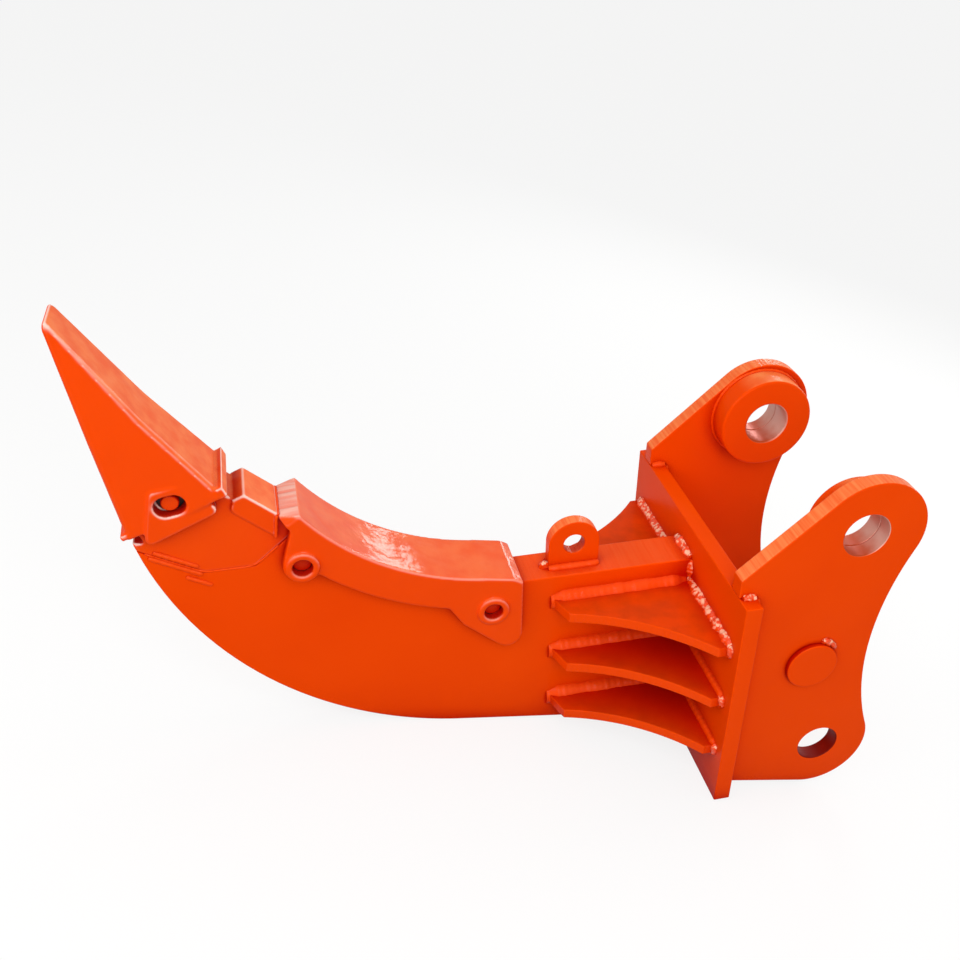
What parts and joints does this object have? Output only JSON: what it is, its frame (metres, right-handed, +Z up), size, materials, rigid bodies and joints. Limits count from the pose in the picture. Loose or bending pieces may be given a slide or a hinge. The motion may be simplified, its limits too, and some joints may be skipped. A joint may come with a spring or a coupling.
{
  "type": "single-shank excavator ripper",
  "caption": "Curved ripper shank with a pointed tooth, pinned guard, gusseted base plate and pin ears, for breaking hard ground from a digger's arm.",
  "frame": {"origin": "centre of the stick pin bore, midway between the ears", "axes": "+X from the tooth towards the ears, +Y along the pin bores, +Z up as it lies on its back"},
  "size_m": [1.4408, 0.51, 0.7381],
  "materials": {
    "orange_paint": "gloss",
    "pin_steel": "satin",
    "spring_steel": "satin"
  },
  "bodies": {
    "root": {"base_plate": "orange_paint", "near_ear": "orange_paint", "far_ear": "orange_paint", "near_stick_boss": "orange_paint", "far_stick_boss": "orange_paint", "ear_disc": "orange_paint", "shank": "orange_paint", "nose_adapter": "orange_paint", "ripper_tooth": "orange_paint", "tooth_pin": "pin_steel", "tooth_pin_retainer": "spring_steel", "shank_guard": "orange_paint", "front_guard_pin": "pin_steel", "front_guard_retainer": "spring_steel", "rear_guard_pin": "pin_steel", "rear_guard_retainer": "spring_steel", "near_top_gusset": "orange_paint", "near_middle_gusset": "orange_paint", "near_bottom_gusset": "orange_paint", "far_top_gusset": "orange_paint", "far_middle_gusset": "orange_paint", "far_bottom_gusset": "orange_paint", "lifting_lug": "orange_paint"}
  },
  "joints": []
}
